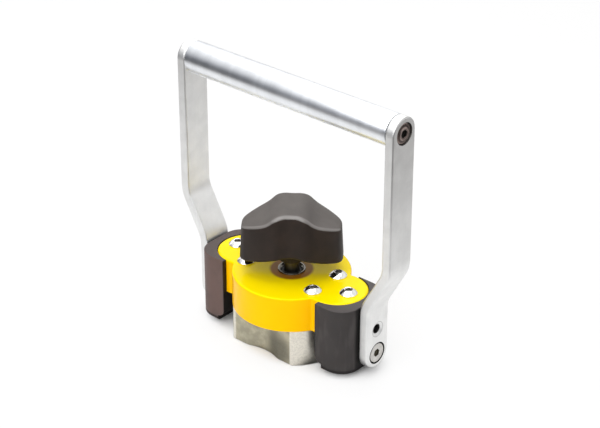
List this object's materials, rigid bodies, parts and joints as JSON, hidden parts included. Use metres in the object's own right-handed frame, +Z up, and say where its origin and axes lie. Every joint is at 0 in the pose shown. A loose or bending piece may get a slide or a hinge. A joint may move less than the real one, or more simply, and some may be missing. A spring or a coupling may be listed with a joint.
{
  "type": "magnetic hand lifter",
  "caption": "Hand-held switchable magnet lifter: steel pole body under a yellow lid, winged knob that turns the magnet on and off, and a tall bail handle with a tube grip.",
  "frame": {"origin": "middle of the pole face, at the bottom of the steel magnet body, on the knob's axis", "axes": "+Z up along the knob shaft, +X along the grip tube, -Y towards the front"},
  "size_m": [0.2126, 0.0936, 0.2246],
  "materials": {
    "housing_steel": "ground, slightly mottled",
    "lid_paint": "gloss enamel",
    "block_coat": "fine dark powder coat",
    "knob_plastic": "matte, fine grain",
    "arm_aluminium": "satin",
    "grip_aluminium": "turned, satin",
    "button_chrome": "bright",
    "pivot_steel": "satin",
    "grip_screw_steel": "dark",
    "shaft_steel": "ground",
    "bush_metal": "turned",
    "seal_rubber": "matte",
    "cap_metal": "flat",
    "magnet_nickel": "nickel plated",
    "slip_film": "slick film",
    "insert_steel": "machined",
    "washer_plastic": "hard nylon"
  },
  "bodies": {
    "base": {"pole_housing": "housing_steel", "bottom_cap": "cap_metal", "lower_magnet": "magnet_nickel", "slip_disc": "slip_film", "thrust_washer": "bush_metal", "shaft_bush": "bush_metal", "shaft_seal": "seal_rubber", "lid_casting": "lid_paint", "ring_screws": "button_chrome", "lobe_screws": "button_chrome", "right_end_block": "block_coat", "left_end_block": "block_coat", "lobe_inserts": "insert_steel", "pivot_inserts": "insert_steel", "lock_inserts": "insert_steel", "friction_washers": "washer_plastic", "right_pivot_screw": "pivot_steel", "left_pivot_screw": "pivot_steel"},
    "rotor": {"upper_magnet": "magnet_nickel", "magnet_carrier": "insert_steel", "drive_pins": "insert_steel", "stop_pin": "insert_steel", "drive_shaft": "shaft_steel", "knob": "knob_plastic", "knob_insert": "insert_steel", "grub_screw": "insert_steel"},
    "handle": {"left_arm": "arm_aluminium", "right_arm": "arm_aluminium", "pivot_bushes": "bush_metal", "grip_tube": "grip_aluminium", "tube_plugs": "insert_steel", "grip_screws": "grip_screw_steel"}
  },
  "joints": [
    {"name": "knob_turn", "type": "hinge", "parent": "base", "child": "rotor", "pos_m": [0, 0, 0], "axis": [0, 0, -1], "range_deg": [0, 180]},
    {"name": "handle_swing", "type": "hinge", "parent": "base", "child": "handle", "pos_m": [0, 0, 0.019], "axis": [1, 0, 0], "range_deg": [-90, 90]}
  ]
}
